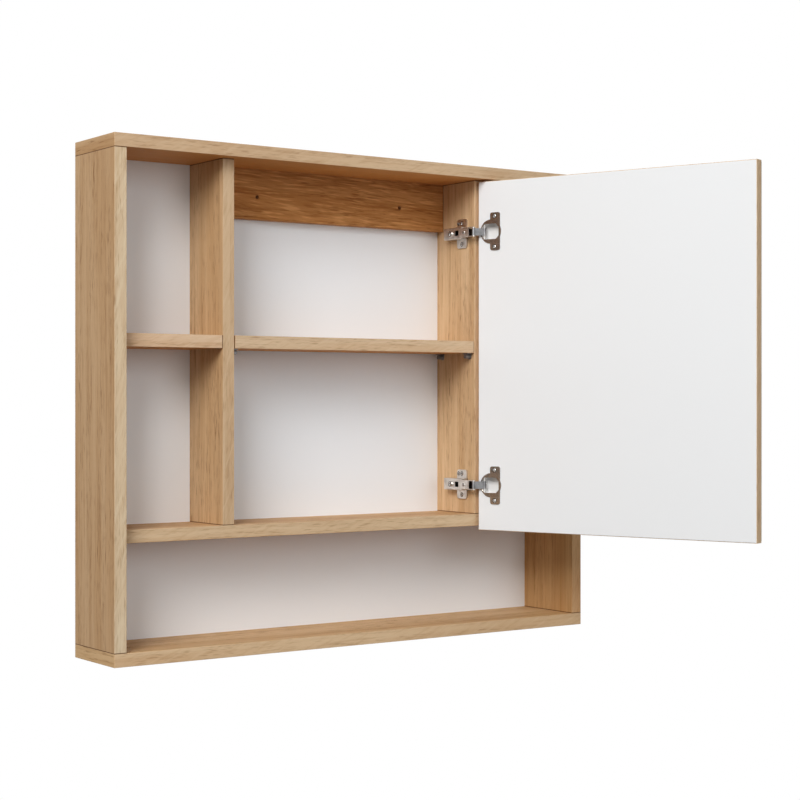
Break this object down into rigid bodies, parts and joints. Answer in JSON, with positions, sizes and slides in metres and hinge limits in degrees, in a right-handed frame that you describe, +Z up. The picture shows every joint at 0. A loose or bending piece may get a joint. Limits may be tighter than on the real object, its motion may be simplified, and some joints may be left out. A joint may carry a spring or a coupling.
{
  "type": "mirror cabinet",
  "caption": "Wall-hung oak cabinet with an overlay mirror door on concealed cup hinges, open niches beside and below the door, and a loose shelf behind it.",
  "frame": {"origin": "midway between the wall screw holes, on the wall plane", "axes": "+X to the right seen from the front, +Y into the wall, +Z up"},
  "size_m": [0.8, 0.5265, 0.7],
  "materials": {
    "oak": "matte oiled, visible grain",
    "white_board": "satin white coating",
    "white_back": "matte white coating",
    "beech": "raw",
    "nickel": "nickel plated",
    "screw_steel": "zinc plated",
    "mirror_glass": "silvered float glass",
    "foam_tape": "matte foam"
  },
  "bodies": {
    "cabinet": {"top_panel": "oak", "bottom_panel": "oak", "left_side_panel": "oak", "right_side_panel": "oak", "left_divider": "oak", "right_divider": "oak", "long_shelf": "oak", "left_niche_shelf": "oak", "right_niche_shelf": "oak", "hanging_rail": "oak", "back_panel": "white_back", "carcass_dowels": "beech", "shelf_supports": "nickel", "upper_mounting_plate": "nickel", "lower_mounting_plate": "nickel", "upper_hinge_arm": "nickel", "lower_hinge_arm": "nickel", "plate_screws": "screw_steel", "arm_screws": "screw_steel", "adjusting_screws": "screw_steel", "arm_pins": "screw_steel"},
    "hinge_links": {"upper_hinge_link": "nickel", "lower_hinge_link": "nickel"},
    "door": {"door_board": "white_board", "door_edge_bands": "oak", "mirror": "mirror_glass", "mirror_tapes": "foam_tape", "upper_hinge_cup": "nickel", "lower_hinge_cup": "nickel", "cup_screws": "screw_steel", "cup_pins": "screw_steel"},
    "loose_shelf": {"loose_shelf": "oak"}
  },
  "joints": [
    {"name": "link_swing", "type": "hinge", "parent": "cabinet", "child": "hinge_links", "pos_m": [0.199, -0.1075, 0], "axis": [0, 0, 1], "range_deg": [0, 40]},
    {"name": "door_turn", "type": "hinge", "parent": "hinge_links", "child": "door", "pos_m": [0.21524, -0.11304, 0], "axis": [0, 0, 1], "range_deg": [-150, 0]},
    {"name": "shelf_lift", "type": "slide", "parent": "cabinet", "child": "loose_shelf", "axis": [0, 0, 1], "range_m": [0, 0.1]}
  ],
  "couplings": [
    {"joint": "link_swing", "follows": "door_turn", "ratio": -0.26666}
  ]
}
